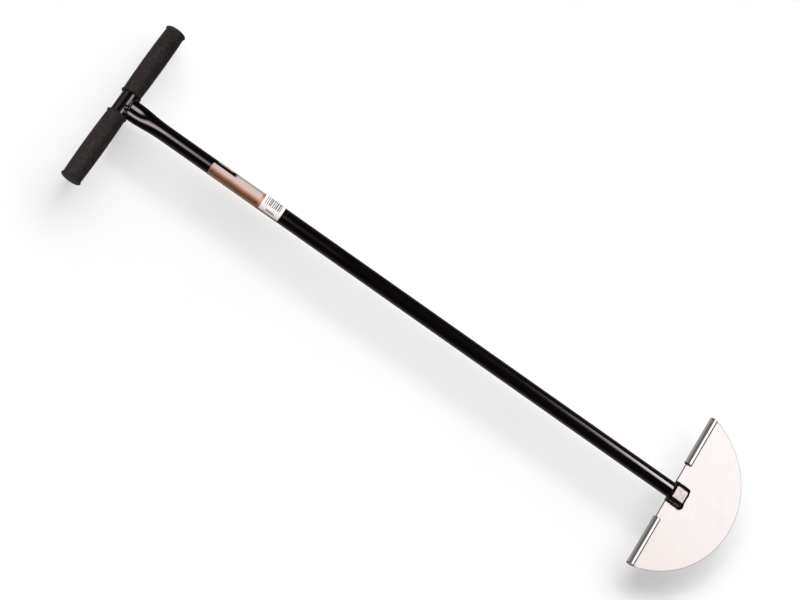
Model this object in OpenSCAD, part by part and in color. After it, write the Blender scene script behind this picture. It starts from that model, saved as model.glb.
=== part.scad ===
// Half moon lawn edger with a T handle, lying on its back.
// The shaft runs along X: the handle is at -X and the blade at +X.
// +Z is the front of the tool, +Y its right-hand side.
// The origin is under the middle of the tool, on the surface that it lies on.

/* [Shaft] */
// Outside diameter of the shaft tube
shaft_d = 21.3; // [18:0.1:22]
// Wall of the shaft tube
shaft_wall = 1.5; // [1.2:0.1:2]
// From the axis of the cross tube to the top edge of the blade
shaft_len = 845; // [700:1:1000]

/* [Pinched end at the handle] */
// Width of the pinched end
pinch_w = 27.4; // [25:0.1:27.6]
// Thickness over the two lobes of the pinched end
pinch_t = 15; // [13:0.1:16]
// Depth of the groove pressed in between the lobes, front and back
groove_depth = 2.4; // [1:0.1:3]
// Half width of the groove
groove_w = 4; // [3.5:0.1:5]
// Where the tube is round again, from the axis of the cross tube
pinch_end = 58; // [52:1:80]

/* [Pressed end at the blade] */
// Width of the pressed end
press_w = 26; // [25:0.1:27]
// Thickness of the pressed end
press_t = 10; // [9:0.1:11]
// How far the pressed end passes the top edge of the blade
press_reach = 21.5; // [18:0.5:26]

/* [T handle] */
// Outside diameter of the cross tube
cross_d = 22; // [21:0.5:23]
// Wall of the cross tube
cross_wall = 1.5; // [1.2:0.1:2]
// Length of one grip
grip_len = 103; // [90:1:120]
// Gap between the two grips
grip_gap = 30; // [28.5:0.5:40]
// Diameter of a grip next to its rims
grip_d = 25.7; // [25:0.1:26]
// Diameter of a grip half way along
grip_mid_d = 27.4; // [26:0.1:27.4]
// Diameter of a grip's rims
rim_d = 28; // [27.6:0.1:30]
// Width of a rim
rim_w = 2.6; // [2.2:0.1:3.5]
// Thickness of the closed end of a grip
grip_end = 4; // [3:0.5:6]

/* [Blade] */
// Radius of the cutting edge
blade_r = 116; // [112:1:120]
// How far the centre of that arc lies above the top edge
blade_rise = 22; // [18:1:26]
// Width across the two cut corners
blade_w = 222.6; // [210:0.2:223]
// Thickness of the plate
blade_t = 2; // [1.6:0.1:2.4]
// Width of the bevel along the cutting edge
bevel_w = 1.5; // [1:0.5:6]
// Thickness left at the cutting edge
edge_t = 0.8; // [0.4:0.1:1.2]

/* [Treads] */
// Outside diameter of a tread tube
tread_d = 11; // [9:0.1:12]
// Wall of a tread tube
tread_wall = 1.5; // [1.2:0.1:1.8]
// Distance from the shaft's axis to the inner end of a tread
tread_in = 41; // [36:0.5:50]

/* [Labels] */
// From the axis of the cross tube to the start of the label
label_start = 131; // [80:1:200]
// Length of the label
label_len = 105.5; // [90:0.5:130]
// Thickness of each label
label_t = 0.2; // [0.15:0.05:0.3]
// Length of the notch in the label's edge
notch_len = 31; // [10:1:50]
// Length of the white sticker
sticker_len = 29; // [20:0.5:40]

/* [Hidden] */
$fn = 96;
// sides of a formed section
ring_n = 40;
// end of the tube, just short of the cross tube
pinch_x = 12;
// start and end of the change from round to pressed
press_x0 = shaft_len - 2;
press_x1 = shaft_len + 5;
press_end = shaft_len + press_reach;
// weld sizes
weld_r = 3.3;
bead_r = 2.8;
weld_out = 0.4;
// grips
grip_y0 = grip_gap/2;
grip_y1 = grip_y0 + grip_len;
cross_len = 2*(grip_y1 - grip_end - 0.1);
grip_bore = cross_d/2 + 0.02;
// blade
blade_cx = shaft_len - blade_rise;
blade_low = blade_cx + blade_r;
tread_x = shaft_len + tread_d/2 - tread_wall - 1.3;
// notch in the label, about the shaft from the front towards the right-hand side
notch_a0 = 15;
notch_a1 = 42;
// whole tool: middle of its length, and the shaft's height over the floor
mid_x = (blade_low - rim_d/2)/2;
axis_z = rim_d/2;

function smooth(t) = let (c = max(0, min(1, t))) c*c*(3 - 2*c);
function mix(a, b, k) = a + (b - a)*k;

// Section of the pinched end at distance x: an oval with a groove in its
// front and back. in_by moves the outline inwards.
function pinch_k(x) = smooth((pinch_end - x)/(pinch_end - 26));
function pinch_g(x) = groove_depth*smooth((34 - x)/12);
function pinch_outline(x, in_by) =
    let (a = mix(shaft_d/2, pinch_w/2, pinch_k(x)) - in_by,
         b = mix(shaft_d/2, pinch_t/2, pinch_k(x)) - in_by)
    [for (i = [0:ring_n - 1])
        let (t = 360*i/ring_n, y = a*cos(t))
        [y, b*sin(t) - sign(round(1e6*sin(t)))*pinch_g(x)*exp(-pow(y/groove_w, 2))]];

// Point of an oval with flat sides, at the fraction u of its outline
function flat_oval(u, w, t) =
    let (f = w - t, r = t/2, q = PI*r/2, s = u*(4*q + 2*f))
    s < q ? [f/2 + r*cos(90*s/q), r*sin(90*s/q)] :
    s < q + f ? [f/2 - (s - q), r] :
    s < 3*q + f ? let (p = 90 + 90*(s - q - f)/q) [-f/2 + r*cos(p), r*sin(p)] :
    s < 3*q + 2*f ? [-f/2 + (s - 3*q - f), -r] :
    let (p = 270 + 90*(s - 3*q - 2*f)/q) [f/2 + r*cos(p), r*sin(p)];

// Section of the pressed end at distance x
function press_outline(x, in_by) =
    let (k = smooth((x - press_x0)/(press_x1 - press_x0)))
    [for (i = [0:ring_n - 1])
        let (t = 360*i/ring_n, r = shaft_d/2 - in_by)
        mix([r*cos(t), r*sin(t)], flat_oval(i/ring_n, press_w - 2*in_by, press_t - 2*in_by), k)];

// Closed tube skin through a list of outer and a list of inner sections
module tube_skin(xs, outer, inner) {
    m = len(xs);
    n = ring_n;
    pts = concat([for (j = [0:m - 1]) for (p = outer[j]) [xs[j], p[0], p[1]]],
                 [for (j = [0:m - 1]) for (p = inner[j]) [xs[j], p[0], p[1]]]);
    b = m*n;
    faces = concat(
        [for (j = [0:m - 2]) for (i = [0:n - 1]) let (k = (i + 1)%n)
            [j*n + i, (j + 1)*n + i, (j + 1)*n + k, j*n + k]],
        [for (j = [0:m - 2]) for (i = [0:n - 1]) let (k = (i + 1)%n)
            [b + j*n + i, b + j*n + k, b + (j + 1)*n + k, b + (j + 1)*n + i]],
        [for (i = [0:n - 1]) let (k = (i + 1)%n) [i, k, b + k, b + i]],
        [for (i = [0:n - 1]) let (k = (i + 1)%n)
            [b - n + i, 2*b - n + i, 2*b - n + k, b - n + k]]);
    polyhedron(points = pts, faces = faces, convexity = 6);
}

// Everything below is drawn with the cross tube's axis at x = 0 and the
// shaft's axis at z = 0, and then moved to its place.
module place() { translate([-mid_x, 0, axis_z]) children(); }
module along_x(x0, x1) { translate([x0, 0, 0]) rotate([90, 0, 90]) linear_extrude(x1 - x0) children(); }
module along_y() { rotate([-90, 0, 0]) children(); }

module flat_oval_2d(w, t) {
    square([w - t, t], center = true);
    for (s = [-1, 1]) translate([s*(w - t)/2, 0]) circle(d = t);
}

module shaft_tube() color("#141213") place() {
    xs_p = [for (j = [0:16]) mix(pinch_x, pinch_end, j/16)];
    xs_q = [for (j = [0:6]) mix(press_x0, press_x1, j/6)];
    thin = shaft_wall - 0.06;
    difference() {
        union() {
            tube_skin(xs_p, [for (x = xs_p) pinch_outline(x, 0.02)], [for (x = xs_p) pinch_outline(x, thin)]);
            along_x(pinch_end, press_x0) difference() { circle(d = shaft_d); circle(d = shaft_d - 2*shaft_wall); }
            tube_skin(xs_q, [for (x = xs_q) press_outline(x, 0.02)], [for (x = xs_q) press_outline(x, thin)]);
            along_x(press_x1, press_end) difference() {
                flat_oval_2d(press_w, press_t);
                flat_oval_2d(press_w - 2*shaft_wall, press_t - 2*shaft_wall);
            }
        }
        // slot for the blade
        translate([shaft_len - 0.05, -press_w, -blade_t/2 - 0.03]) cube([press_reach + 5, 2*press_w, blade_t + 0.06]);
    }
}

module cross_tube() color("#141213") place()
    rotate([90, 0, 0]) difference() {
        cylinder(d = cross_d, h = cross_len, center = true);
        cylinder(d = cross_d - 2*cross_wall, h = cross_len + 2, center = true);
    }

// One grip on the +Y side: the sleeve's profile turned about the cross tube
module grip() {
    l = grip_len;
    c = 0.8;
    body = [for (j = [0:14]) let (u = j/14, v = 2*u - 1)
        [mix(grip_mid_d, grip_d, v*v)/2, mix(rim_w + 1.2, l - rim_w - 1.2, u)]];
    profile = concat(
        [[grip_bore, 0], [rim_d/2 - c, 0], [rim_d/2, c], [rim_d/2, rim_w - c], [rim_d/2 - c, rim_w]],
        body,
        [[rim_d/2 - c, l - rim_w], [rim_d/2, l - rim_w + c], [rim_d/2, l - c - 0.4], [rim_d/2 - 1.2, l - 0.4],
         [rim_d/2 - 4, l], [0, l], [0, l - grip_end], [grip_bore, l - grip_end]]);
    translate([0, grip_y0, 0]) along_y() rotate_extrude() polygon(profile);
}
module right_grip() color("#322c2d") place() grip();
module left_grip() color("#322c2d") place() mirror([0, 1, 0]) grip();

module half_moon_blade() color("#e9e5e4") place() intersection() {
    translate([blade_cx, 0, 0]) rotate_extrude() polygon([
        [0, -blade_t/2], [blade_r - bevel_w, -blade_t/2], [blade_r, -edge_t/2],
        [blade_r, edge_t/2], [blade_r - bevel_w, blade_t/2], [0, blade_t/2]]);
    translate([shaft_len, -blade_w/2, -5]) cube([blade_r, blade_w, 10]);
}

// Split tube that grips the top edge of the blade, +Y side
module tread() translate([tread_x, tread_in, 0]) difference() {
    along_y() difference() {
        cylinder(d = tread_d, h = blade_w/2 - tread_in);
        translate([0, 0, -1]) cylinder(d = tread_d - 2*tread_wall, h = blade_w);
    }
    translate([0, -1, -blade_t/2 - 0.03]) cube([tread_d, blade_w, blade_t + 0.06]);
}
module right_tread() color("#b9b4b4") place() tread();
module left_tread() color("#b9b4b4") place() mirror([0, 1, 0]) tread();

// Weld that fills the joint between the pinched end and the cross tube, with
// a raised bead over the front and the back of the joint
module handle_weld() color("#1d1b1b") place() difference() {
    union() {
        along_x(7.5, pinch_x) difference() {
            polygon(pinch_outline(pinch_x, -weld_out));
            polygon(pinch_outline(pinch_x, shaft_wall));
        }
        difference() {
            for (s = [-1, 1]) translate([8.2, 0, s*(pinch_t/2 - 0.9)]) {
                rotate([90, 0, 0]) cylinder(r = bead_r, h = 19, center = true);
                for (e = [-1, 1]) translate([0, e*9.5, 0]) sphere(r = bead_r + 0.1);
            }
            along_x(0, 22) polygon(pinch_outline(pinch_x, 0));
        }
    }
    rotate([90, 0, 0]) cylinder(d = cross_d, h = 80, center = true);
}

// Bead around the pressed end, on the front face of the blade
module blade_weld() {
    y = press_w/2 - 0.1;
    difference() {
        translate([0, 0, blade_t/2]) {
            for (s = [-1, 1]) {
                translate([press_x1 - 2.4, s*y, 0]) rotate([0, 90, 0]) cylinder(r = weld_r, h = press_end - press_x1 + 2.4);
                translate([press_end, s*y, 0]) sphere(r = weld_r + 0.15);
            }
            translate([press_end, -y, 0]) along_y() cylinder(r = weld_r, h = 2*y);
        }
        along_x(press_x1 - 5, press_end) flat_oval_2d(press_w, press_t);
        translate([press_x1 - 10, -30, -30]) cube([60, 60, 30 + blade_t/2]);
    }
}
module front_blade_weld() color("#1d1b1b") place() blade_weld();
module back_blade_weld() color("#1d1b1b") place() mirror([0, 0, 1]) blade_weld();

// Shell on the tube: from angle a0, for the angle sweep, both measured
// about the shaft from the front towards the right-hand side
module shell(r, x0, len, a0, sweep)
    translate([x0, 0, 0]) rotate([0, 90, 0]) rotate([0, 0, 180 - a0 - sweep])
        rotate_extrude(angle = sweep) translate([r, 0]) square([label_t, len]);

// Wrap with a notch in its front edge, open from notch_a0 to notch_a1 degrees
module product_label() color("#8a5a3c") place() difference() {
    along_x(label_start, label_start + label_len) difference() {
        circle(d = shaft_d + 2*label_t);
        circle(d = shaft_d);
    }
    along_x(label_start - 1, label_start + notch_len) polygon([[0, 0],
        [shaft_d*sin(notch_a0), shaft_d*cos(notch_a0)], [shaft_d*sin(notch_a1), shaft_d*cos(notch_a1)]]);
}

module barcode_label() color("#f2efee") place()
    shell(shaft_d/2 + label_t, label_start + label_len - sticker_len, sticker_len, -68, 153);

shaft_tube();
cross_tube();
left_grip();
right_grip();
half_moon_blade();
left_tread();
right_tread();
handle_weld();
front_blade_weld();
back_blade_weld();
product_label();
barcode_label();
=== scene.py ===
import math

import bmesh
import bpy
from mathutils import Matrix, Vector, noise


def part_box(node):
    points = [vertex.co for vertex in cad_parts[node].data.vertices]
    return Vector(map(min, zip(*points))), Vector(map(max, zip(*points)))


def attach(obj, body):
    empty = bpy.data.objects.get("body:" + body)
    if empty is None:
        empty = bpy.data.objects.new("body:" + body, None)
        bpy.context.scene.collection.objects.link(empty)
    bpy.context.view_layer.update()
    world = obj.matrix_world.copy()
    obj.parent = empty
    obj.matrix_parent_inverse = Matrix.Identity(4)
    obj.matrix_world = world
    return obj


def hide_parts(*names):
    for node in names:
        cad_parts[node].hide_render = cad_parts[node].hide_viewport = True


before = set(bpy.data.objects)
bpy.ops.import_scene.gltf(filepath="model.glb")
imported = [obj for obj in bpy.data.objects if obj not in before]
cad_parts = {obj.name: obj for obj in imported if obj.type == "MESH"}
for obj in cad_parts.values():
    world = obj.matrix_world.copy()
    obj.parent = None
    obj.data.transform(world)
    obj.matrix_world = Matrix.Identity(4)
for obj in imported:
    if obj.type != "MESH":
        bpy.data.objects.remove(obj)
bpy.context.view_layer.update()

# ---------------------------------------------------------------- frame
# Shapes are worked out in millimetres with the cross tube's axis at x = 0 and
# the shaft's axis at z = 0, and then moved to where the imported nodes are.
MM = 0.001
lo_c, hi_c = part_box("cross_tube")
lo_b, hi_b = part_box("half_moon_blade")
lo_g, hi_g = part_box("right_grip")
lo_t, hi_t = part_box("right_tread")
lo_s, hi_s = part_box("shaft_tube")
lo_l, hi_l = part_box("product_label")
lo_k, hi_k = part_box("barcode_label")
T_X = (lo_c.x + hi_c.x) / 2
AXIS_Z = (lo_c.z + hi_c.z) / 2
CROSS_R = (hi_c.z - lo_c.z) / 2 / MM
TOP_EDGE = (lo_b.x - T_X) / MM
LOW_EDGE = (hi_b.x - T_X) / MM
BLADE_HALF = hi_b.y / MM
PRESS_END = (hi_s.x - T_X) / MM
GRIP_Y0, GRIP_Y1 = lo_g.y / MM, hi_g.y / MM
RIM_R = (hi_g.z - lo_g.z) / 2 / MM
TREAD_IN, TREAD_OUT = lo_t.y / MM, hi_t.y / MM
TREAD_R = (hi_t.z - lo_t.z) / 2 / MM
TREAD_X = (lo_t.x - T_X) / MM + TREAD_R
LABEL_0, LABEL_1 = (lo_l.x - T_X) / MM, (hi_l.x - T_X) / MM
STICK_0, STICK_1 = (lo_k.x - T_X) / MM, (hi_k.x - T_X) / MM
SHAFT_R = (hi_l.z - lo_l.z) / 2 / MM - 0.2


def place(v):
    return (T_X + v[0] * MM, v[1] * MM, AXIS_Z + v[2] * MM)


def smooth(t):
    t = max(0.0, min(1.0, t))
    return t * t * (3 - 2 * t)


def mix(a, b, k):
    return a + (b - a) * k


def rough(x, y, z, scale, depth=3):
    """Smooth noise between about -1 and 1, the same on every run."""
    return noise.fractal(Vector((x / scale, y / scale, z / scale)), 1.0, 2.0, depth)


# ---------------------------------------------------------------- meshes
def build(name, verts, faces, mats, sharp=38.0, face_mat=None):
    me = bpy.data.meshes.new(name)
    me.from_pydata([place(v) for v in verts], [], faces)
    for m in mats:
        me.materials.append(m)
    if face_mat:
        me.polygons.foreach_set("material_index", face_mat)
    bm = bmesh.new()
    bm.from_mesh(me)
    bmesh.ops.remove_doubles(bm, verts=bm.verts, dist=1e-7)
    bmesh.ops.recalc_face_normals(bm, faces=bm.faces)
    bm.to_mesh(me)
    bm.free()
    me.shade_smooth()
    me.set_sharp_from_angle(angle=math.radians(sharp))
    ob = bpy.data.objects.new(name, me)
    bpy.context.scene.collection.objects.link(ob)
    return ob


def rings_to_mesh(rings, close_start=False, close_end=False, loop=False):
    """Quads between rings of equal length. loop joins the last ring to the first."""
    n = len(rings[0])
    verts = [p for r in rings for p in r]
    faces = []
    m = len(rings)
    for j in range(m if loop else m - 1):
        a, b = j * n, ((j + 1) % m) * n
        for i in range(n):
            k = (i + 1) % n
            faces.append((a + i, b + i, b + k, a + k))
    if close_start:
        faces.append(tuple(range(n)))
    if close_end:
        faces.append(tuple(range((m - 1) * n, m * n))[::-1])
    return verts, faces


def stand_for(ob, node):
    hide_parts(node)
    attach(ob, "root")
    return ob


def apply_modifiers(ob, sharp=38.0):
    bpy.context.view_layer.update()
    dg = bpy.context.evaluated_depsgraph_get()
    me = bpy.data.meshes.new_from_object(ob.evaluated_get(dg))
    old = ob.data
    ob.modifiers.clear()
    ob.data = me
    bpy.data.meshes.remove(old)
    me.name = ob.name
    me.shade_smooth()
    me.set_sharp_from_angle(angle=math.radians(sharp))


# ---------------------------------------------------------------- materials
class Nodes:
    """A material's node tree, with short calls for the nodes used below."""

    def __init__(self, name):
        self.mat = bpy.data.materials.new(name)
        self.mat.use_nodes = True
        self.tree = self.mat.node_tree
        self.tree.nodes.clear()
        self.out = self.add("ShaderNodeOutputMaterial")
        self.bsdf = self.add("ShaderNodeBsdfPrincipled")
        self.link(self.bsdf.outputs[0], self.out.inputs["Surface"])
        self.obj = self.add("ShaderNodeTexCoord").outputs["Object"]

    def add(self, kind, **props):
        n = self.tree.nodes.new(kind)
        for k, v in props.items():
            setattr(n, k, v)
        return n

    def link(self, a, b):
        self.tree.links.new(a, b)

    def put(self, socket, value):
        if isinstance(value, bpy.types.NodeSocket):
            self.link(value, socket)
        else:
            socket.default_value = value

    def set(self, **inputs):
        for k, v in inputs.items():
            self.put(self.bsdf.inputs[k.replace("_", " ")], v)

    def math(self, op, a, b=0.0, c=0.0, clamp=False):
        n = self.add("ShaderNodeMath", operation=op, use_clamp=clamp)
        for s, v in zip(n.inputs, (a, b, c)):
            self.put(s, v)
        return n.outputs[0]

    def scaled(self, factors, vector=None):
        n = self.add("ShaderNodeVectorMath", operation="MULTIPLY")
        self.put(n.inputs[0], vector or self.obj)
        n.inputs[1].default_value = factors
        return n.outputs[0]

    def noise(self, scale, detail=4.0, rough=0.55, vector=None, distortion=0.0):
        n = self.add("ShaderNodeTexNoise")
        self.put(n.inputs["Vector"], vector or self.obj)
        n.inputs["Scale"].default_value = scale
        n.inputs["Detail"].default_value = detail
        n.inputs["Roughness"].default_value = rough
        n.inputs["Distortion"].default_value = distortion
        return n.outputs[0]

    def cells(self, scale, vector=None, feature="F1", smooth=0.4):
        n = self.add("ShaderNodeTexVoronoi", feature=feature)
        self.put(n.inputs["Vector"], vector or self.obj)
        n.inputs["Scale"].default_value = scale
        if feature == "SMOOTH_F1":
            n.inputs["Smoothness"].default_value = smooth
        return n.outputs["Distance"]

    def ramp(self, value, stops, mode="LINEAR"):
        n = self.add("ShaderNodeValToRGB")
        n.color_ramp.interpolation = mode
        e = n.color_ramp.elements
        while len(e) < len(stops):
            e.new(0.5)
        for el, (pos, col) in zip(e, stops):
            el.position = pos
            el.color = (*col, 1.0) if len(col) == 3 else col
        self.put(n.inputs[0], value)
        return n.outputs[0]

    def range(self, value, a, b, c, d, kind="LINEAR"):
        n = self.add("ShaderNodeMapRange", interpolation_type=kind)
        for s, v in zip(n.inputs, (value, a, b, c, d)):
            self.put(s, v)
        return n.outputs[0]

    def blend(self, fac, a, b, kind="MIX"):
        n = self.add("ShaderNodeMix", data_type="RGBA", blend_type=kind)
        self.put(n.inputs[0], fac)
        for s, v in ((n.inputs[6], a), (n.inputs[7], b)):
            self.put(s, (*v, 1.0) if isinstance(v, tuple) and len(v) == 3 else v)
        return n.outputs[2]

    def bump(self, height, strength, distance, normal=None):
        n = self.add("ShaderNodeBump")
        n.inputs["Strength"].default_value = strength
        n.inputs["Distance"].default_value = distance
        self.put(n.inputs["Height"], height)
        if normal is not None:
            self.put(n.inputs["Normal"], normal)
        return n.outputs[0]

    def split(self, vector=None):
        n = self.add("ShaderNodeSeparateXYZ")
        self.put(n.inputs[0], vector or self.obj)
        return n.outputs


def paint_material(name, base, rough_lo, rough_hi, peel):
    """Gloss enamel over steel tube: orange peel, faint smears and fine dust."""
    m = Nodes(name)
    smear = m.noise(1.0, 5, 0.6, m.scaled((28, 160, 160)))
    dust = m.noise(2600, 2, 0.5)
    speck = m.range(dust, 0.72, 0.80, 0.0, 1.0)
    col = m.blend(m.math("MULTIPLY", speck, 0.25), base, tuple(4.0 * c + 0.006 for c in base))
    col = m.blend(m.range(smear, 0.45, 0.75, 0.0, 0.5), col, tuple(1.7 * c for c in base))
    rgh = m.range(smear, 0.3, 0.75, rough_lo, rough_hi)
    rgh = m.math("ADD", rgh, m.math("MULTIPLY", speck, 0.12))
    n1 = m.bump(m.noise(420, 3, 0.5), peel, 0.00004)
    m.set(Base_Color=col, Roughness=rgh, Normal=n1)
    m.bsdf.inputs["IOR"].default_value = 1.5
    m.bsdf.inputs["Specular Tint"].default_value = (1.0, 0.885, 0.912, 1.0)
    return m.mat


def weld_material(name):
    """Enamel over a rough bead, with scale showing through on the high spots."""
    m = Nodes(name)
    grain = m.noise(900, 6, 0.65)
    fine = m.noise(3200, 3, 0.6)
    bare = m.range(m.math("ADD", grain, m.math("MULTIPLY", fine, 0.35)), 0.84, 0.94, 0.0, 1.0)
    col = m.blend(bare, (0.0030, 0.0026, 0.0026), (0.15, 0.14, 0.14))
    m.set(
        Base_Color=col,
        Roughness=m.range(grain, 0.3, 0.7, 0.14, 0.30),
        Metallic=m.math("MULTIPLY", bare, 0.6),
        Normal=m.bump(fine, 0.18, 0.0001, m.bump(grain, 0.25, 0.00025)),
    )
    m.bsdf.inputs["Specular Tint"].default_value = (1.0, 0.88, 0.90, 1.0)
    return m.mat


def rubber_material(name):
    """Matte moulded rubber: fine pebble grain, chalky bloom and faint handling marks."""
    m = Nodes(name)
    cells = m.cells(1500, feature="SMOOTH_F1")
    mottled = m.noise(240, 5, 0.6)
    bloom = m.noise(38, 4, 0.6)
    col = m.ramp(mottled, [(0.34, (0.0090, 0.0058, 0.0061)), (0.52, (0.0242, 0.0162, 0.0168)), (0.70, (0.0460, 0.0330, 0.0338))])
    col = m.blend(m.range(bloom, 0.50, 0.80, 0.0, 0.45), col, (0.033, 0.0240, 0.0246))
    nrm = m.bump(cells, 0.60, 0.00014, m.bump(mottled, 0.65, 0.0004))
    m.set(Base_Color=col, Roughness=m.range(mottled, 0.3, 0.7, 0.62, 0.80), Normal=nrm)
    m.bsdf.inputs["Specular IOR Level"].default_value = 0.35
    return m.mat


def blade_material(name):
    """Rolled stainless sheet: fine grain along the width, faint stains and scratches."""
    m = Nodes(name)
    grain = m.noise(1.0, 3, 0.6, m.scaled((2600, 90, 2600)))
    broad = m.noise(1.0, 4, 0.6, m.scaled((340, 26, 340)))
    stain = m.noise(26, 5, 0.62)
    fine = m.noise(1.0, 2, 0.5, m.scaled((5200, 240, 5200)))
    col = m.ramp(broad, [(0.25, (0.825, 0.805, 0.797)), (0.75, (0.865, 0.846, 0.838))])
    col = m.blend(m.range(stain, 0.52, 0.80, 0.0, 0.30), col, (0.77, 0.735, 0.715))
    rgh = m.math("ADD", m.range(grain, 0.3, 0.7, 0.23, 0.33), m.range(stain, 0.4, 0.8, 0.0, 0.05))
    m.set(
        Base_Color=col,
        Roughness=rgh,
        Normal=m.bump(fine, 0.10, 0.00003, m.bump(grain, 0.12, 0.00004)),
    )
    m.bsdf.inputs["Metallic"].default_value = 1.0
    return m.mat


def tread_material(name):
    """Bright drawn tube: fine draw lines along its length."""
    m = Nodes(name)
    lines = m.noise(1.0, 3, 0.6, m.scaled((3600, 30, 3600)))
    broad = m.noise(1.0, 3, 0.6, m.scaled((900, 18, 900)))
    col = m.ramp(broad, [(0.25, (0.62, 0.60, 0.60)), (0.75, (0.78, 0.765, 0.76))])
    m.set(
        Base_Color=col,
        Roughness=m.range(lines, 0.3, 0.7, 0.10, 0.19),
        Normal=m.bump(lines, 0.15, 0.00004),
    )
    m.bsdf.inputs["Metallic"].default_value = 1.0
    return m.mat


def bore_shade_material(name):
    """Inside and cut ends of a tube: dull and dark brown, mottled, coloured dark as painted shade in the bore and at
    the ends.
    """
    m = Nodes(name)
    mottled = m.noise(700, 5, 0.6)
    col = m.ramp(mottled, [(0.3, (0.012, 0.010, 0.009)), (0.7, (0.06, 0.05, 0.045))])
    m.set(Base_Color=col, Roughness=m.range(mottled, 0.3, 0.7, 0.5, 0.8), Normal=m.bump(mottled, 0.3, 0.0002))
    m.bsdf.inputs["Metallic"].default_value = 0.4
    return m.mat


def sheared_shade_material(name):
    """Sheared edge of the sheet: coloured near black as a painted dark line of shade, dull, with fine tear marks across
    it.
    """
    m = Nodes(name)
    tears = m.noise(1.0, 4, 0.6, m.scaled((900, 2400, 500)))
    col = m.ramp(tears, [(0.3, (0.022, 0.022, 0.024)), (0.7, (0.070, 0.070, 0.075))])
    m.set(Base_Color=col, Roughness=m.range(tears, 0.3, 0.7, 0.35, 0.6), Normal=m.bump(tears, 0.3, 0.0001))
    m.bsdf.inputs["Metallic"].default_value = 0.8
    return m.mat


def around_shaft(m):
    """Position along the shaft in mm from the cross tube, and the angle about the shaft
    in degrees from the front towards +Y."""
    x, y, z = m.split()
    along = m.math("MULTIPLY", m.math("SUBTRACT", x, T_X), 1000.0)
    up = m.math("SUBTRACT", z, AXIS_Z)
    turn = m.math("MULTIPLY", m.math("ARCTAN2", y, up), 180 / math.pi)
    return along, turn


def inside(m, value, a, b, soft):
    """1 between a and b, with soft edges."""
    rise = m.range(value, a - soft, a + soft, 0.0, 1.0)
    fall = m.range(value, b - soft, b + soft, 1.0, 0.0)
    return m.math("MULTIPLY", rise, fall)


def label_material(name):
    """Laminated print in cream that runs into copper and brown, with plain bands, under a clear satin film. Painted
    light is laid into the print: a painted reflection in the cream front, painted shade above it and a painted
    highlight along the front of the bands."""
    m = Nodes(name)
    along, turn = around_shaft(m)
    fibre = m.noise(520, 4, 0.6)
    cloud = m.noise(60, 4, 0.6)
    sweep = m.math("ADD", turn, m.range(cloud, 0.3, 0.7, -4.0, 4.0))
    # colours by the angle round the shaft: the cream front is print with a painted reflection of the lights laid into
    # it, and the darker zone at about +40 degrees is painted shade
    col = m.ramp(
        m.range(sweep, -180, 180, 0.0, 1.0),
        [
            (0.10, (0.25, 0.165, 0.12)),
            (0.28, (0.295, 0.20, 0.137)),
            (0.345, (0.118, 0.041, 0.015)),
            (0.390, (0.110, 0.034, 0.012)),
            (0.433, (0.305, 0.147, 0.095)),
            (0.478, (0.423, 0.316, 0.276)),
            (0.565, (0.40, 0.37, 0.35)),
            (0.612, (0.27, 0.22, 0.21)),
            (0.90, (0.25, 0.165, 0.12)),
        ],
    )
    # plain bands along the two ends and beside the notch
    band = m.math("ADD", inside(m, along, LABEL_0 - 3, LABEL_0 + 1.1, 0.3), inside(m, along, STICK_0 - 3.9, STICK_0 + 2, 0.3))
    by_notch = m.math("MULTIPLY", inside(m, along, LABEL_0 + 30, LABEL_0 + 33.6, 0.4), inside(m, turn, 14, 62, 1.5))
    band = m.math("MAXIMUM", m.math("MINIMUM", band, 1.0), by_notch)
    # band colour: brown print, lighter orange at the front as a painted highlight and darker towards the sides
    band_tone_with_painted_highlight = m.ramp(
        m.range(turn, -90, 90, 0.0, 1.0),
        [(0.20, (0.210, 0.085, 0.040)), (0.38, (0.420, 0.225, 0.140)), (0.50, (0.455, 0.260, 0.170)), (0.64, (0.250, 0.085, 0.040)), (1.0, (0.220, 0.070, 0.030))],
    )
    col = m.blend(m.math("MULTIPLY", band, 0.9), col, band_tone_with_painted_highlight)
    line = m.math("ADD", inside(m, turn, -42.5, -40.5, 0.6), inside(m, turn, -69, -67.4, 0.6))
    line = m.math("MULTIPLY", line, inside(m, along, LABEL_0 + 6, STICK_0 - 9, 0.4), clamp=True)
    col = m.blend(m.math("MULTIPLY", line, 0.35), col, (0.50, 0.36, 0.30))
    col = m.blend(m.range(fibre, 0.45, 0.8, 0.0, 0.18), col, (0.33, 0.22, 0.17))
    m.set(
        Base_Color=col,
        Roughness=m.range(fibre, 0.3, 0.7, 0.36, 0.48),
        Normal=m.bump(cloud, 0.12, 0.0004, m.bump(fibre, 0.10, 0.00005)),
    )
    m.bsdf.inputs["Specular IOR Level"].default_value = 0.3
    m.bsdf.inputs["Coat Weight"].default_value = 0.1
    m.bsdf.inputs["Coat Roughness"].default_value = 0.3
    return m.mat


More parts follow.
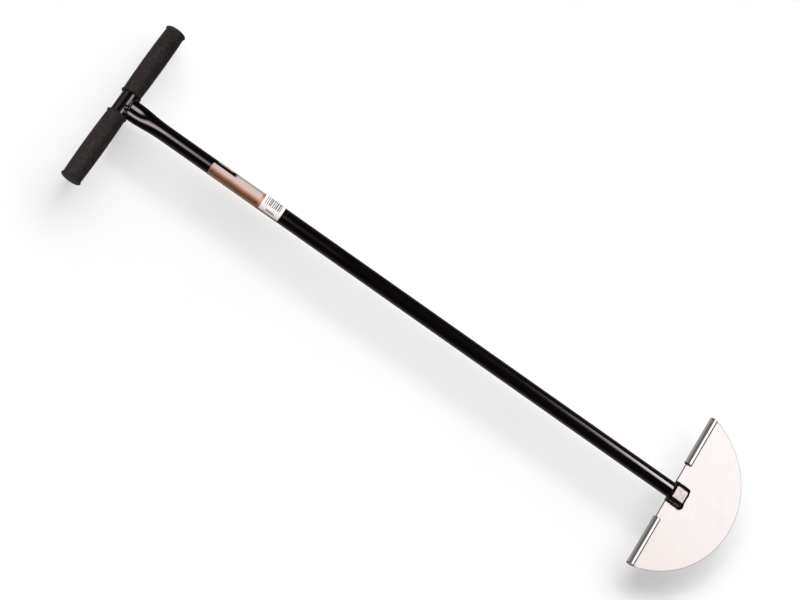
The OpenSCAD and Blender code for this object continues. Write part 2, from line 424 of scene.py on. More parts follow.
def sticker_material(name):
    """White paper sticker with a row of plain bars and a row of short ticks."""
    m = Nodes(name)
    along, turn = around_shaft(m)
    fibre = m.noise(900, 5, 0.65)
    paper = m.ramp(fibre, [(0.3, (0.63, 0.612, 0.615)), (0.7, (0.70, 0.682, 0.686))])
    b0, b1 = STICK_0 + 3.3, STICK_1 - 3.3
    # two even rows of bars laid over each other
    wide = inside(m, m.math("FRACT", m.math("MULTIPLY", along, 0.385)), 0.10, 0.52, 0.03)
    thin = inside(m, m.math("FRACT", m.math("MULTIPLY", along, 0.245)), 0.30, 0.46, 0.02)
    bars = m.math("MAXIMUM", wide, thin)
    bars = m.math("MULTIPLY", bars, inside(m, along, b0, b1, 0.02))
    bars = m.math("MULTIPLY", bars, inside(m, turn, -12, 90, 0.6))
    wave = m.math("FRACT", m.math("MULTIPLY", along, 1.15))
    tick = inside(m, wave, 0.14, 0.76, 0.04)
    tick = m.math("MULTIPLY", tick, inside(m, along, STICK_0 + 8.8, STICK_1 - 7.6, 0.05))
    tick = m.math("MULTIPLY", tick, inside(m, turn, -53, -37, 0.5))
    ink = m.math("MAXIMUM", bars, tick)
    ink = m.math("MULTIPLY", ink, m.range(fibre, 0.2, 0.6, 0.90, 0.98))
    col = m.blend(ink, paper, (0.026, 0.020, 0.022))
    m.set(Base_Color=col, Roughness=m.range(fibre, 0.3, 0.7, 0.58, 0.70), Normal=m.bump(fibre, 0.12, 0.00005))
    m.bsdf.inputs["Specular IOR Level"].default_value = 0.2
    return m.mat


PAINT = paint_material("black_enamel", (0.0013, 0.0010, 0.0010), 0.10, 0.17, 0.10)
WELD = weld_material("painted_bead")
RUBBER = rubber_material("grip_rubber")
STEEL = blade_material("blade_steel")
CHROME = tread_material("tread_steel")
BORE_SHADE = bore_shade_material("tube_bore_painted_shade")
SHEARED_SHADE = sheared_shade_material("sheared_edge_painted_shade")
LABEL = label_material("label_print")
STICKER = sticker_material("sticker_paper")


# ---------------------------------------------------------------- shaft
PINCH_X = [0, 9, 16, 20, 24, 28, 32, 36, 40, 44, 48, 52, 58, 64, 72, 90]
PINCH_A = [13.7, 13.7, 13.68, 13.56, 13.36, 13.06, 12.64, 12.12, 11.55, 11.08, 10.72, 10.42, 10.16, 10.04, 10.0, 10.0]


def through(xs, ys, x):
    """Smooth curve through points."""
    if x <= xs[0]:
        return ys[0]
    if x >= xs[-1]:
        return ys[-1]
    i = max(j for j in range(len(xs) - 1) if xs[j] <= x)

    def slope(j):
        if j <= 0 or j >= len(xs) - 1:
            return 0.0
        return (ys[j + 1] - ys[j - 1]) / (xs[j + 1] - xs[j - 1])

    h = xs[i + 1] - xs[i]
    t = (x - xs[i]) / h
    t2, t3 = t * t, t * t * t
    return (
        (2 * t3 - 3 * t2 + 1) * ys[i]
        + (t3 - 2 * t2 + t) * h * slope(i)
        + (3 * t2 - 2 * t3) * ys[i + 1]
        + (t3 - t2) * h * slope(i + 1)
    )


def pinched(x, t, inset):
    a = through(PINCH_X, PINCH_A, x)
    k = (a - 10.0) / 3.7
    a += (SHAFT_R - 10.0) * (1 - k)
    b = mix(SHAFT_R, 7.5, k)
    g = 1.85 * smooth((37.5 - x) / 20.0)
    y = (a - inset) * math.cos(t)
    z = (b - inset) * math.sin(t)
    s = math.sin(t)
    if abs(s) > 1e-6:
        z -= math.copysign(1.0, s) * g * math.exp(-((y / 3.6) ** 2))
    return y, z


PRESS_W, PRESS_T = 26.0, 10.0
PRESS_A, PRESS_B = TOP_EDGE - 2.0, TOP_EDGE + 5.4


def flat_oval(u, w, t):
    f, r = w - t, t / 2
    q = math.pi * r / 2
    s = u * (4 * q + 2 * f)
    if s < q:
        p = s / r
        return f / 2 + r * math.cos(p), r * math.sin(p)
    if s < q + f:
        return f / 2 - (s - q), r
    if s < 3 * q + f:
        p = math.pi / 2 + (s - q - f) / r
        return -f / 2 + r * math.cos(p), r * math.sin(p)
    if s < 3 * q + 2 * f:
        return -f / 2 + (s - 3 * q - f), -r
    p = 1.5 * math.pi + (s - 3 * q - 2 * f) / r
    return f / 2 + r * math.cos(p), r * math.sin(p)


def pressed(x, i, n, inset):
    k = smooth((x - PRESS_A) / (PRESS_B - PRESS_A))
    t = 2 * math.pi * i / n
    r = SHAFT_R - inset
    fy, fz = flat_oval(i / n, PRESS_W - 2 * inset, PRESS_T - 2 * inset)
    y, z = mix(r * math.cos(t), fy, k), mix(r * math.sin(t), fz, k)
    if k > 0 and inset == 0:
        # the press leaves the flats a little uneven
        dent = 0.10 * math.exp(-(((x - TOP_EDGE - 13) / 5) ** 2) - ((y + 0.5) / 2.2) ** 2)
        z -= math.copysign(1.0, z) * k * dent * min(1.0, abs(z) / 3)
        z += k * 0.035 * rough(x, y, z, 5.0) * min(1.0, abs(z) / 3)
        z -= math.copysign(1.0, z) * k * 0.30 * min(1.0, abs(y) / 8.6) ** 7 * min(1.0, abs(z) / 3)
        off = max(0.0, (x - PRESS_END + 2.1) / 2.1)
        z -= math.copysign(1.0, z) * 0.80 * off * off * min(1.0, abs(z) / 3)
    return y, z


def make_shaft():
    n = 144
    wall = 1.5
    stations = [None]
    x = 13.0
    while x < 74:
        stations.append(x)
        x += 0.75
    for k in range(1, 40):
        stations.append(74 + (PRESS_A - 2 - 74) * k / 40)
    x = PRESS_A - 1.5
    while x < PRESS_B + 1:
        stations.append(x)
        x += 0.45
    while x < PRESS_END - 0.5:
        stations.append(x)
        x += 1.2 if x < PRESS_END - 3.4 else 0.4
    stations += [PRESS_END - 0.45, PRESS_END - 0.12]
    mid = 400.0

    def ring(x, inset, lip=0.0):
        out = []
        for i in range(n):
            t = 2 * math.pi * i / n
            if x is None:
                # the end is coped to the cross tube
                y, z = pinched(11.0, t, inset)
                out.append((math.sqrt(max(0.0, CROSS_R**2 - min(z * z, 100))) - 0.25, y, z))
            elif x < mid:
                y, z = pinched(x, t, inset + lip)
                out.append((x, y, z))
            else:
                y, z = pressed(x, i, n, inset + lip)
                out.append((x, y, z))
        return out

    outer = [ring(s, 0.0) for s in stations] + [ring(PRESS_END, 0.0, 0.35)]
    inner = [ring(PRESS_END, wall - 0.2)] + [ring(s, wall) for s in reversed(stations[:-1])]
    rings = outer + inner
    verts, faces = rings_to_mesh(rings, loop=True)
    ob = build("shaft_tube_formed", verts, faces, [PAINT])
    # slot that the blade sits in
    cutter = build(
        "slot_cutter",
        [(TOP_EDGE - 0.05 + a * 60, (b - 0.5) * 80, (c - 0.5) * 2.06) for a in (0, 1) for b in (0, 1) for c in (0, 1)],
        [(0, 1, 3, 2), (4, 6, 7, 5), (0, 4, 5, 1), (2, 3, 7, 6), (0, 2, 6, 4), (1, 5, 7, 3)],
        [],
    )
    mod = ob.modifiers.new("slot", "BOOLEAN")
    mod.operation, mod.object, mod.solver = "DIFFERENCE", cutter, "EXACT"
    apply_modifiers(ob)
    bpy.data.objects.remove(cutter)
    return stand_for(ob, "shaft_tube")


# ---------------------------------------------------------------- T handle
def make_cross_tube():
    n = 128
    half = GRIP_Y1 - 4.1
    ys = [-half, -half + 0.3] + [-half + 0.3 + (2 * half - 0.6) * k / 60 for k in range(1, 60)] + [half - 0.3, half]

    def ring(y, r):
        return [(r * math.cos(2 * math.pi * i / n), y, r * math.sin(2 * math.pi * i / n)) for i in range(n)]

    outer = [ring(y, CROSS_R - (0.3 if abs(y) == half else 0.0)) for y in ys]
    inner = [ring(y, CROSS_R - 1.5) for y in reversed(ys)]
    verts, faces = rings_to_mesh(outer + inner, loop=True)
    ob = build("cross_tube_painted", verts, faces, [PAINT])
    return stand_for(ob, "cross_tube")


def grip_profile():
    """(radius, distance from the inner end, grain depth) along the outside of a grip."""
    length = GRIP_Y1 - GRIP_Y0
    rim = RIM_R
    pts = [(11.02, 0.05, 0), (11.7, 0.0, 0), (12.9, 0.0, 0), (13.35, 0.06, 0)]
    for k in range(1, 12):
        a = math.pi * k / 12
        pts.append((rim - 0.85 + 0.85 * math.sin(a), 1.15 - 1.1 * math.cos(a), 0.0))
    pts += [(13.12, 2.55, 0.0), (12.96, 2.85, 0.2), (12.88, 3.3, 0.5)]
    m = 132
    for k in range(m + 1):
        u = k / m
        v = 2 * u - 1
        pts.append((mix(13.64, 12.86, v * v), mix(3.9, length - 5.6, u), smooth(min(k, m - k) / 5)))
    # trumpet-shaped flange at the outer end
    for k in range(1, 15):
        u = k / 14
        pts.append((12.84 + (rim - 12.84) * u * u * (1.6 - 0.6 * u), mix(length - 5.6, length - 2.6, u), 0.6 * (1 - u)))
    # rounded edge, then a low dome over the closed end
    for k in range(1, 11):
        a = math.pi / 2 * k / 10 * 0.86
        pts.append((rim - 1.3 + 1.3 * math.cos(a), length - 2.6 + 1.5 * math.sin(a), 0.0))
    edge_r, edge_u = pts[-1][0], pts[-1][1]
    for k in range(1, 15):
        r = edge_r * (1 - k / 15)
        pts.append((r, mix(length - 0.05, edge_u, (r / edge_r) ** 2), 0.25 * smooth(k / 4) * smooth((14 - k) / 3)))
    return pts


def make_grip(side):
    n = 168
    pts = grip_profile()
    length = GRIP_Y1 - GRIP_Y0
    rings = []
    for r, u, grain in pts:
        ring = []
        for i in range(n):
            t = 2 * math.pi * i / n
            c, s = math.cos(t), math.sin(t)
            rr = r
            if grain:
                px, pz = r * c, r * s
                off = side * 500.0
                h = 0.060 * rough(px + off, u, pz, 2.1, 3) + 0.075 * rough(px - off, u + 31, pz, 7.5, 2)
                rr += grain * h
            ring.append((rr * c, side * (GRIP_Y0 + u), rr * s))
        rings.append(ring)
    # the bore, back to the inner end
    bore = [(11.02, length - 4.0), (11.02, 60.0), (11.02, 20.0)]
    outer = len(rings)
    verts, faces = rings_to_mesh(rings)
    base = len(verts)
    for r, u in bore:
        verts += [(r * math.cos(2 * math.pi * i / n), side * (GRIP_Y0 + u), r * math.sin(2 * math.pi * i / n)) for i in range(n)]
    for j in range(len(bore) - 1):
        for i in range(n):
            k = (i + 1) % n
            faces.append((base + j * n + i, base + (j + 1) * n + i, base + (j + 1) * n + k, base + j * n + k))
    last = base + (len(bore) - 1) * n
    for i in range(n):
        k = (i + 1) % n
        faces.append((last + i, i, k, last + k))
    # closed ends: the middle of the end face and the bottom of the bore
    tip = len(verts)
    verts.append((0, side * (GRIP_Y0 + length - 0.05), 0))
    a = (outer - 1) * n
    for i in range(n):
        faces.append((a + i, tip, a + (i + 1) % n))
    tip = len(verts)
    verts.append((0, side * (GRIP_Y0 + length - 4.0), 0))
    for i in range(n):
        faces.append((base + i, base + (i + 1) % n, tip))
    name = "right" if side > 0 else "left"
    ob = build(f"{name}_grip_sleeve", verts, faces, [RUBBER], sharp=50)
    return stand_for(ob, f"{name}_grip")


# ---------------------------------------------------------------- welds
def bead(name, path, shape, mat, closed, pitch, depth=0.20, crown=0.55, n=26, seed=0.0):
    """Weld bead swept along a path of (point, up) in mm. shape(j) gives half its width
    and its height over and under the path. The ripples are crescents: they lag behind
    at the toes of the bead."""
    m = len(path)
    rings = []
    s = 0.0
    for j in range(m):
        p, up = Vector(path[j][0]), Vector(path[j][1]).normalized()
        if j:
            s += (p - Vector(path[j - 1][0])).length
        if closed:
            d = Vector(path[(j + 1) % m][0]) - Vector(path[j - 1][0])
        else:
            d = Vector(path[min(j + 1, m - 1)][0]) - Vector(path[max(j - 1, 0)][0])
        d.normalize()
        side = d.cross(up).normalized()
        up = side.cross(d).normalized()
        wide, high, low = shape(j)
        dip = depth(j) if callable(depth) else depth
        ring = []
        for i in range(n):
            t = 2 * math.pi * i / n
            c, h = math.cos(t), math.sin(t)
            phase = s / pitch + 0.22 * rough(s, seed, 1.0, 4.0, 2) - crown * c * c
            w = 1.0 + dip * (1.0 - (phase % 1.0) ** 2 - 0.55) * max(0.0, h) ** 0.5
            q = side * (wide * c * (0.5 + 0.5 * w)) + up * ((high * w if h > 0 else low) * h)
            o = p + q
            w = 1 + 0.07 * rough(o.x, o.y, o.z + seed, 1.4, 3)
            ring.append(tuple(p + q * w))
        rings.append(ring)
    verts, faces = rings_to_mesh(rings, close_start=not closed, close_end=not closed, loop=closed)
    return build(name, verts, faces, [mat], sharp=75)


def make_handle_weld():
    m = 520
    path, size = [], []
    for j in range(m):
        t = 2 * math.pi * j / m
        y, z = pinched(9.5, t, 0.0)
        z = max(-10.0, min(10.0, z))
        k = smooth((13.3 - abs(y)) / 4.0)
        # the bead is laid a little way up on the cross tube
        blob = math.exp(-(((y + 4.6) / 1.8) ** 2)) if z > 0 else 0.0
        turn = math.asin(z / CROSS_R) + math.copysign(1.0, z) * k * (3.6 + 1.0 * blob) / CROSS_R
        r = CROSS_R + 0.05
        p = Vector((r * math.cos(turn), y * mix(0.985, 0.99, k), r * math.sin(turn)))
        y1, z1 = pinched(9.5, t + 0.002, 0.0)
        y0, z0 = pinched(9.5, t - 0.002, 0.0)
        out = Vector((0.0, z1 - z0, y0 - y1)).normalized()
        up = Vector((math.cos(turn), 0.0, math.sin(turn))) + out * mix(0.9, 0.35, k)
        path.append((tuple(p), tuple(up)))
        size.append((k, y, blob))

    def shape(j):
        # laid in blobs on one side of the middle and drawn out thin on the other
        k, y, blob = size[j]
        lump = mix(0.46, 1.0 + 0.26 * math.cos(2 * math.pi * (y + 4.6) / 7.6), smooth((0.5 - y) / 3.0))
        uneven = lump * (1 + 0.08 * rough(y, j * 0.02, 7.0, 5.0))
        return mix(0.45, 2.75, k) * uneven + 1.1 * blob, mix(0.40, 1.65, k) * uneven + 0.3 * blob, mix(0.4, 1.2, k)

    def depth(j):
        return mix(0.03, 0.15, smooth((0.5 - size[j][1]) / 3.0)) * (1 - 0.75 * size[j][2])

    ob = bead("handle_weld_bead", path, shape, WELD, True, 3.35, depth, 0.6, 30, 3.0)
    return stand_for(ob, "handle_weld")


def make_blade_weld(front):
    sgn = 1 if front else -1
    y = PRESS_W / 2 - 0.3
    x0, x1 = TOP_EDGE + 0.8, PRESS_END - 0.2
    corner = 2.2
    pts = []
    step = 0.22

    def line(a, b):
        k = max(2, int((Vector(b) - Vector(a)).length / step))
        for i in range(k):
            pts.append(tuple(Vector(a).lerp(Vector(b), i / k)))

    def arc(cx, cy, a0, a1):
        k = int(abs(a1 - a0) * corner / step)
        for i in range(k):
            a = mix(a0, a1, i / k)
            pts.append((cx + corner * math.cos(a), cy + corner * math.sin(a), 0))

    line((x0, y, 0), (x1 - corner, y, 0))
    arc(x1 - corner, y - corner, math.pi / 2, 0)
    line((x1, y - corner, 0), (x1, -y + corner, 0))
    arc(x1 - corner, -y + corner, 0, -math.pi / 2)
    line((x1 - corner, -y, 0), (x0 - 1.3, -y, 0))
    seed = 0.0 if front else 90.0
    path, lengths = [], []
    s = 0.0
    for i, p in enumerate(pts):
        if i:
            s += (Vector(p) - Vector(pts[i - 1])).length
        wob = 0.30 * rough(s, seed, 2.0, 5.0)
        path.append(((p[0] + wob * 0.4, p[1] + wob, sgn * 1.0), (0, 0, sgn)))
        lengths.append(s)
    total = s

    def shape(j):
        s = lengths[j]
        p = path[j][0]
        r = 2.75
        r += 1.15 * smooth((-p[1] - 4) / 8) * (1 if front else 0.4)
        r -= 0.55 * smooth((p[1] - 6) / 5)
        r += 0.9 * math.exp(-(((p[0] - x1 + 0.5) / 2.6) ** 2) - ((p[1] + y) / 2.6) ** 2) * (1 if front else 0.4)
        r += 0.4 * math.exp(-(((p[0] - x1 + 0.5) / 2.2) ** 2) - ((p[1] - y) / 2.2) ** 2)
        end = smooth(min(s, total - s) / 1.6)
        blunt = 0.55 if s < total / 2 else 0.85
        r *= (blunt + (1 - blunt) * end) * (1 + 0.12 * rough(s, seed + 5, 1.0, 3.2))
        return r, r * 0.98, 0.7

    name = "front" if front else "back"
    ob = bead(f"{name}_blade_weld_bead", path, shape, WELD, False, 2.7, 0.22, 0.5, 26, seed + 11)
    return stand_for(ob, f"{name}_blade_weld")


# ---------------------------------------------------------------- blade
def make_blade():
    rise = 22.0
    cx = TOP_EDGE - rise
    r = LOW_EDGE - cx
    bevel, half, edge = 1.5, 1.0, 0.4
    m = 180

    def outline(inset):
        """Counter-clockwise from the +Y end of the top edge."""
        rr = r - inset
        yh = BLADE_HALF - inset
        top = TOP_EDGE + min(inset, 0.35)
        a = math.asin(min(1.0, yh / rr))
        pts = [(top, yh - 0.0)]
        for k in range(m + 1):
            t = mix(a, -a, k / m)
            pts.append((cx + rr * math.cos(t), rr * math.sin(t)))
        pts.append((top, -yh))
        return pts

    # levels of the ground edge, which rolls over, and the same below
    roll = [(bevel + 0.6, half), (bevel, 0.985), (1.0, 0.93), (0.6, 0.84), (0.36, 0.74), (0.18, 0.62), (0.06, 0.5), (0.0, edge)]
    levels = roll + [(i, -z) for i, z in reversed(roll)]
    # the sheared top edge: rolled over in front, sharper at the back
    straight = [(0.95, half), (0.52, half - 0.10), (0.16, half - 0.32), (0.0, half - 0.75)]
    straight += [(0.0, 0.25 - 0.95 * k / 9) for k in range(1, 10)]
    straight += [(0.03, -half + 0.12), (0.12, -half + 0.03), (0.35, -half)]
    rings = []
    for (ins, z), (sin_, sz) in zip(levels, straight):
        pts = outline(ins)
        ring = []
        for i, (x, y) in enumerate(pts):
            if i in (0, len(pts) - 1):
                sgn = 1 if i == 0 else -1
                ring.append((TOP_EDGE + sin_, sgn * (BLADE_HALF - sin_), sz))
            else:
                ring.append((x, y, z))
        rings.append(ring)
    n = len(rings[0])
    verts, faces = rings_to_mesh(rings)
    # the straight sheared edges take the near-black painted-shade colour
    mats = []
    for j in range(len(rings) - 1):
        upright = 3 <= j < len(rings) - 4
        mats += [1 if i == n - 1 or (upright and i in (0, n - 2)) else 0 for i in range(n)]
    # front and back faces
    for lvl, flip in ((0, False), (len(rings) - 1, True)):
        face = list(range(lvl * n, lvl * n + n))
        faces.append(tuple(face if not flip else face[::-1]))
        mats.append(0)
    ob = build("half_moon_plate", verts, faces, [STEEL, SHEARED_SHADE], sharp=20, face_mat=mats)
    return stand_for(ob, "half_moon_blade")


def make_tread(side):
    n = 96
    wall = 1.5
    ri = TREAD_R - wall
    gap = 1.03
    length = TREAD_OUT - TREAD_IN
    a0 = math.asin(gap / TREAD_R)
    b0 = math.asin(gap / ri)

    def section(inset):
        """Split ring: outer skin from one lip to the other, then the inner skin back."""
        pts = []
        ro, rn = TREAD_R - inset, ri + inset
        lip = 0.15
        for k in range(n + 1):
            t = mix(a0 + 0.03, 2 * math.pi - a0 - 0.03, k / n)
            pts.append((ro * math.cos(t), ro * math.sin(t), 0))
        pts.append(((TREAD_R - lip - inset) * math.cos(a0), -gap - inset * 0, 1))
        pts.append(((ri + lip + inset) * math.cos(b0), -gap, 1))
        for k in range(n + 1):
            t = mix(2 * math.pi - b0 - 0.04, b0 + 0.04, k / n)
            pts.append((rn * math.cos(t), rn * math.sin(t), 2))
        pts.append(((ri + lip + inset) * math.cos(b0), gap, 1))
        pts.append(((TREAD_R - lip - inset) * math.cos(a0), gap, 1))
        return pts

    stations = [(0.0, 0.3), (0.1, 0.1), (0.3, 0.0)]
    stations += [(0.3 + (length - 0.6) * k / 24, 0.0) for k in range(1, 24)]
    stations += [(length - 0.3, 0.0), (length - 0.1, 0.1), (length, 0.3)]
    rings, kinds = [], None
    for u, ins in stations:
        sec = section(ins)
        kinds = [p[2] for p in sec]
        rings.append([(TREAD_X + p[0], side * (TREAD_IN + u), p[1]) for p in sec])
    verts, faces = rings_to_mesh(rings)
    per = len(kinds)
    mats = []
    for j in range(len(rings) - 1):
        # the rounded ends and the inner skin take the dark painted-shade colour
        rim = j < 2 or j > len(rings) - 4
        for i in range(per):
            mats.append(1 if rim or (kinds[i] and kinds[(i + 1) % per]) else 0)
    # end faces, one quad for each step round the wall, in the dark painted-shade colour
    k = n + 1
    for base in (0, (len(rings) - 1) * per):
        outer = list(range(base, base + k))
        inner = [base + k + 2 + k - 1 - i for i in range(k)]
        for i in range(n):
            q = (outer[i], outer[i + 1], inner[i + 1], inner[i])
            faces.append(q)
            mats.append(1)
        faces.append((outer[-1], base + k, base + k + 1, inner[-1]))
        faces.append((inner[0], base + 2 * k + 2, base + 2 * k + 3, outer[0]))
        mats += [1, 1]
    name = "right" if side > 0 else "left"
    ob = build(f"{name}_tread_tube", verts, faces, [CHROME, BORE_SHADE], sharp=40, face_mat=mats)
    return stand_for(ob, f"{name}_tread")


# ---------------------------------------------------------------- labels
def shell(name, r0, thick, x0, x1, a0, a1, keep, mats, node, step=1.5, lift=None):
    """Thin curved sheet on the shaft between angles a0 and a1 (degrees from the front
    towards +Y). keep(x, a) says which cells are there, lift adds to the radius."""
    xs = [x0, x0 + 0.25]
    k = max(2, int((x1 - x0) / 1.5))
    xs += [mix(x0 + 0.25, x1 - 0.25, i / k) for i in range(1, k)] + [x1 - 0.25, x1]
    full = a1 - a0 >= 359.9
    na = int(round((a1 - a0) / step))
    angles = [mix(a0, a1, i / na) for i in range(na if full else na + 1)]
    verts, index = [], {}

    def vert(i, j, top):
        key = (i, j % len(angles) if full else j, top)
        if key not in index:
            a = math.radians(angles[key[1]])
            r = r0 + (thick if top else 0.0)
            if lift:
                r += lift(xs[i], angles[key[1]])
            index[key] = len(verts)
            verts.append((xs[i], r * math.sin(a), r * math.cos(a)))
        return index[key]

    cells = set()
    nj = len(angles) if full else len(angles) - 1
    for i in range(len(xs) - 1):
        for j in range(nj):
            if keep((xs[i] + xs[i + 1]) / 2, angles[j] + step / 2):
                cells.add((i, j))
    faces = []
    for i, j in sorted(cells):
        for top in (True, False):
            q = (vert(i, j, top), vert(i + 1, j, top), vert(i + 1, j + 1, top), vert(i, j + 1, top))
            faces.append(q if top else q[::-1])
        for (di, dj), (p, q) in {
            (-1, 0): ((i, j), (i, j + 1)),
            (1, 0): ((i + 1, j + 1), (i + 1, j)),
            (0, -1): ((i + 1, j), (i, j)),
            (0, 1): ((i, j + 1), (i + 1, j + 1)),
        }.items():
            nb = (i + di, (j + dj) % nj if full else j + dj)
            if nb not in cells:
                faces.append((vert(*p, True), vert(*q, True), vert(*q, False), vert(*p, False)))
    ob = build(name, verts, faces, mats, sharp=40)
    return stand_for(ob, node)


def make_labels():
    notch_x, notch_a0, notch_a1 = LABEL_0 + 31.0, 15.0, 42.0

    def keep(x, a):
        if x < notch_x and notch_a0 < a < notch_a1:
            return False
        # the tab beyond the notch is narrower than the notch
        if notch_a1 <= a < 84 and (x < LABEL_0 + 4.4 or LABEL_0 + 26.5 < x < notch_x + (a - 40) * 0.05):
            return False
        return True

    def lift(x, a):
        # the film lies a little unevenly on the tube
        return 0.012 + 0.012 * rough(x, a * 0.17, 4.0, 9.0, 2)

    shell("product_label_film", SHAFT_R + 0.01, 0.19, LABEL_0, LABEL_1, -180, 180, keep, [LABEL], "product_label", 1.0, lift)
    shell(
        "barcode_label_paper",
        SHAFT_R + 0.23,
        0.17,
        STICK_0,
        STICK_1,
        -68,
        85,
        lambda x, a: True,
        [STICKER],
        "barcode_label",
        1.0,
        lift,
    )


shaft = make_shaft()
cross = make_cross_tube()
grips = [make_grip(1), make_grip(-1)]
plate = make_blade()
treads = [make_tread(1), make_tread(-1)]
joint = make_handle_weld()
seams = [make_blade_weld(True), make_blade_weld(False)]
make_labels()


# ---------------------------------------------------------------- stage
def make_floor():
    m = Nodes("floor_white")
    soft = m.noise(3.0, 3, 0.5)
    m.set(Base_Color=m.ramp(soft, [(0.3, (0.79, 0.79, 0.795)), (0.7, (0.81, 0.81, 0.815))]))
    m.bsdf.inputs["Roughness"].default_value = 0.9
    m.bsdf.inputs["Specular IOR Level"].default_value = 0.0
    m.bsdf.inputs["Emission Color"].default_value = (1.0, 1.0, 1.0, 1.0)
    m.bsdf.inputs["Emission Strength"].default_value = 0.055
    me = bpy.data.meshes.new("floor")
    s = 8.0
    me.from_pydata([(-s, -s, -0.0003), (s, -s, -0.0003), (s, s, -0.0003), (-s, s, -0.0003)], [], [(0, 1, 2, 3)])
    me.materials.append(m.mat)
    ob = bpy.data.objects.new("floor", me)
    bpy.context.scene.collection.objects.link(ob)
    ob.visible_glossy = False
    return ob


def softbox(name, x0, x1, y0, y1, z, radiance, colour, ramps=None, across=None):
    """Rectangular light over the object, facing down. x, y and z in metres in the shape
    frame. ramps are (position, brightness) along x, and across the same along y, where
    the brightness can be a colour."""
    lamp = bpy.data.lights.new(name, "AREA")
    lamp.shape = "RECTANGLE"
    lamp.size, lamp.size_y = x1 - x0, y1 - y0
    lamp.color = colour
    lamp.energy = radiance * math.pi * lamp.size * lamp.size_y
    if ramps or across:
        lamp.use_nodes = True
        tree = lamp.node_tree
        tree.nodes.clear()
        out = tree.nodes.new("ShaderNodeOutputLight")
        em = tree.nodes.new("ShaderNodeEmission")
        geo = tree.nodes.new("ShaderNodeNewGeometry")
        sep = tree.nodes.new("ShaderNodeSeparateXYZ")
        tree.links.new(geo.outputs["Parametric"], sep.inputs[0])
        for axis, stops, socket in ((0, ramps, "Strength"), (1, across, "Color")):
            if not stops:
                continue
            ramp = tree.nodes.new("ShaderNodeValToRGB")
            e = ramp.color_ramp.elements
            while len(e) < len(stops):
                e.new(0.5)
            for el, (pos, v) in zip(e, stops):
                el.position, el.color = pos, (*v, 1) if isinstance(v, tuple) else (v, v, v, 1)
            tree.links.new(sep.outputs[axis], ramp.inputs[0])
            tree.links.new(ramp.outputs[0], em.inputs[socket])
        tree.links.new(em.outputs[0], out.inputs[0])
    ob = bpy.data.objects.new(name, lamp)
    ob.location = (T_X + (x0 + x1) / 2, (y0 + y1) / 2, AXIS_Z + z)
    bpy.context.scene.collection.objects.link(ob)
    ob.visible_camera = False
    return ob


def lit(name, lamp, only=None, but=None):
    """Say which objects a light falls on."""
    col = bpy.data.collections.new(name + "_receivers")
    for ob in only or but:
        col.objects.link(ob)
    lamp.light_linking.receiver_collection = col
    if but:
        for c in col.collection_objects:
            c.light_linking.link_state = "EXCLUDE"


def low_light(name, turn, width, share, floor, blockers=None, rise=18.5):
    """Distant light on the floor, turn degrees from the +Y side. share is the part of
    the floor's white that it makes up, rise its height over the horizon."""
    up, aside = math.radians(rise), math.radians(turn - 7)
    lamp = bpy.data.lights.new(name, "SUN")
    lamp.angle = math.radians(width)
    lamp.energy = share * math.pi / (0.8 * math.sin(up))
    ob = bpy.data.objects.new(name, lamp)
    towards = Vector((math.sin(aside) * math.cos(up), math.cos(aside) * math.cos(up), math.sin(up)))
    ob.rotation_mode = "QUATERNION"
    ob.rotation_quaternion = towards.to_track_quat("Z", "Y")
    ob.location = towards * 3
    bpy.context.scene.collection.objects.link(ob)
    lit(name, ob, only=[floor])
    if blockers:
        col = bpy.data.collections.new(name + "_blockers")
        for b in blockers:
            col.objects.link(b)
        ob.light_linking.blocker_collection = col


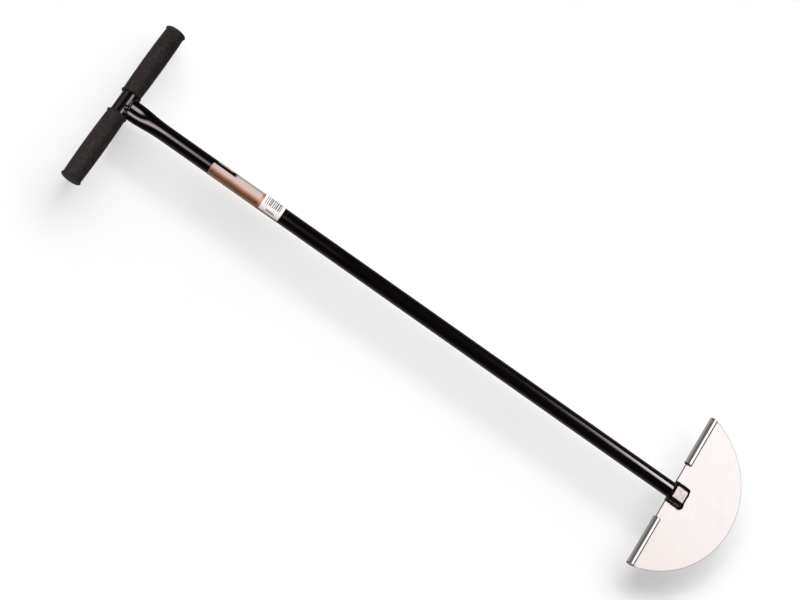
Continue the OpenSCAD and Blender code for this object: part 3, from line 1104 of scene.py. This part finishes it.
def make_lights(floor, blade, treads, grips, tee_pieces, seams, shaft_pieces):
    pink = (1.0, 0.955, 0.955)
    key = softbox(
        "key", 0.95, 2.7, 0.19, 1.28, 1.4, 23.0, pink,
        [(0.0, 0.03), (0.046, 0.06), (0.09, 0.185), (0.137, 0.6), (0.18, 0.95), (0.22, 1.0), (1.0, 1.0)],
    )
    top = softbox(
        "over_handle", -0.55, 0.45, -1.00, 0.38, 1.4, 11.0, pink,
        [(0.0, 1.0), (0.52, 1.0), (0.562, 0.95), (0.619, 0.64), (0.676, 0.44), (0.78, 0.115), (0.887, 0.022), (0.964, 0.006), (1.0, 0.003)],
        [(0.0, 0.0), (0.14, 0.22), (0.32, 0.82), (0.5, 1.0), (0.68, 0.82), (0.86, 0.22), (1.0, 0.0)],
    )
    tee = softbox(
        "over_tee", 0.23, 1.83, 0.0, 1.1, 1.4, 9.0, pink,
        [(0.0, 0.0), (0.14, 0.25), (0.28, 0.85), (0.42, 1.0), (0.58, 0.75), (0.82, 0.3), (1.0, 0.05)],
    )
    wall = softbox("far_wall", -1.4, 1.4, -1.5, 1.5, 0.0, 0.9, (1.0, 0.955, 0.93), [(0.0, 1.0), (0.4, 1.0), (1.0, 0.35)])
    wall.location = (T_X - 2.2, 0.4, AXIS_Z + 1.75)
    wall.rotation_euler = (0.0, -math.pi / 2, 0.0)
    lit("key", key, but=[floor, blade] + tee_pieces + treads + grips + seams)
    lit("over_handle", top, but=[floor, blade] + treads)
    lit("far_wall", wall, but=[floor, blade] + treads)
    lit("over_tee", tee, only=tee_pieces)
    plate = softbox(
        "plate_card", -0.7, 3.3, -1.2, 2.3, 1.6, 1.205, (1.0, 0.985, 0.988),
        None, [(0.0, (0.78, 0.69, 0.66)), (0.41, (0.84, 0.76, 0.73)), (0.49, (1.0, 1.0, 1.0)), (1.0, (1.0, 1.0, 1.0))],
    )
    lit("plate_card", plate, only=[blade])
    near = softbox("plate_near", -1.3, 1.3, -1.2, 1.2, 0.0, 0.95, (1.0, 0.97, 0.96))
    near.location = (T_X + 0.55, -1.8, AXIS_Z + 0.8)
    near.rotation_euler = (math.pi / 2, 0.0, 0.0)
    lit("plate_near", near, only=[blade])
    side = softbox("tread_card", -0.65, 4.2, -1.0, 2.6, 1.4, 1.75, (1.0, 0.985, 0.98), [(0.0, 0.09), (0.336, 0.085), (0.357, 1.0), (1.0, 1.0)])
    lit("tread_card", side, only=treads)
    low = softbox("tread_wall", -2.1, 2.1, -1.6, 1.6, 0.0, 1.0, (1.0, 0.965, 0.955), [(0.0, 0.33), (0.12, 0.42), (0.44, 0.34), (0.857, 0.16), (1.0, 0.10)])
    low.location = (T_X - 2.2, 0.6, AXIS_Z + 0.9)
    low.rotation_euler = (0.0, -math.pi / 2, 0.0)
    lit("tread_wall", low, only=treads)
    # light from low on the far side, spread in azimuth, that leaves a soft shadow
    around = [(-60, 0.022), (-45, 0.060), (-30, 0.122), (-15, 0.188), (0, 0.216), (15, 0.188), (30, 0.122), (45, 0.060), (60, 0.022)]
    for i, (turn, share) in enumerate(around):
        low_light(f"low_{i}", turn, 12, 0.215 * share, floor, [blade] + treads + grips + tee_pieces + seams)
    # the shaft's shadow starts away from it, so its lights are spread in height instead
    for i, (rise, width, share) in enumerate([(10, 12, 0.035), (18.5, 6, 0.10), (21, 12, 0.06)]):
        low_light(f"low_shaft_{i}", 0, width, share, floor, shaft_pieces, rise)
    # the plate with its treads, and the handle, keep more of the light off the floor
    for i, (turn, share) in enumerate([(-58, 0.13), (-28, 0.23), (0, 0.28), (28, 0.23), (58, 0.13)]):
        low_light(f"low_plate_{i}", turn - 9, 26, 0.35 * share, floor, [blade] + treads)
        low_light(f"low_handle_{i}", turn, 26, 0.185 * share, floor, grips + tee_pieces)
    world = bpy.data.worlds.new("studio")
    world.use_nodes = True
    tree = world.node_tree
    bg = tree.nodes["Background"]
    coord = tree.nodes.new("ShaderNodeTexCoord")
    sep = tree.nodes.new("ShaderNodeSeparateXYZ")
    half = tree.nodes.new("ShaderNodeMapRange")
    half.inputs[1].default_value, half.inputs[2].default_value = -1.0, 1.0
    ramp = tree.nodes.new("ShaderNodeValToRGB")
    # height of the direction from -1 to 1, and how bright it is there
    dirs = [(-1.0, 0.62), (-0.64, 0.52), (-0.31, 0.23), (0.0, 0.085), (0.15, 0.04), (0.4, 0.025), (1.0, 0.015)]
    stops = [((z + 1) / 2, (v, 0.93 * v, 0.895 * v)) for z, v in dirs]
    e = ramp.color_ramp.elements
    while len(e) < len(stops):
        e.new(0.5)
    for el, (pos, col) in zip(e, stops):
        el.position, el.color = pos, (*col, 1.0)
    tree.links.new(coord.outputs["Generated"], sep.inputs[0])
    tree.links.new(sep.outputs[2], half.inputs[0])
    tree.links.new(half.outputs[0], ramp.inputs[0])
    tree.links.new(ramp.outputs[0], bg.inputs[0])
    bg.inputs[1].default_value = 1.0
    bpy.context.scene.world = world
    bpy.context.scene.view_settings.view_transform = "Standard"
    bpy.context.scene.view_settings.look = "None"


def make_camera():
    cam = bpy.data.cameras.new("camera")
    cam.sensor_width = 36.0
    cam.sensor_fit = "HORIZONTAL"
    cam.lens = 99.0
    cam.clip_start, cam.clip_end = 0.1, 50
    ob = bpy.data.objects.new("camera", cam)
    right = Vector((0.81229, 0.520093, 0.263985))
    down = Vector((0.572014, -0.798796, -0.186346))
    look = Vector((0.113953, 0.30237, -0.946355))
    place_mm = -(right * -341.135848 + down * -241.529243 + look * 2713.154669)
    # turned by half a pixel, from the centres of pixels to their corners
    half = 0.5 / 2200.0
    right = (right + look * half).normalized()
    down = down + look * half
    down = (down - right * down.dot(right)).normalized()
    look = right.cross(down)
    rot = Matrix((right, -down, -look)).transposed().to_4x4()
    ob.matrix_world = Matrix.Translation(Vector(place(place_mm))) @ rot
    bpy.context.scene.collection.objects.link(ob)
    bpy.context.scene.camera = ob


make_lights(make_floor(), plate, treads, grips, [cross, joint], seams, [shaft])
make_camera()
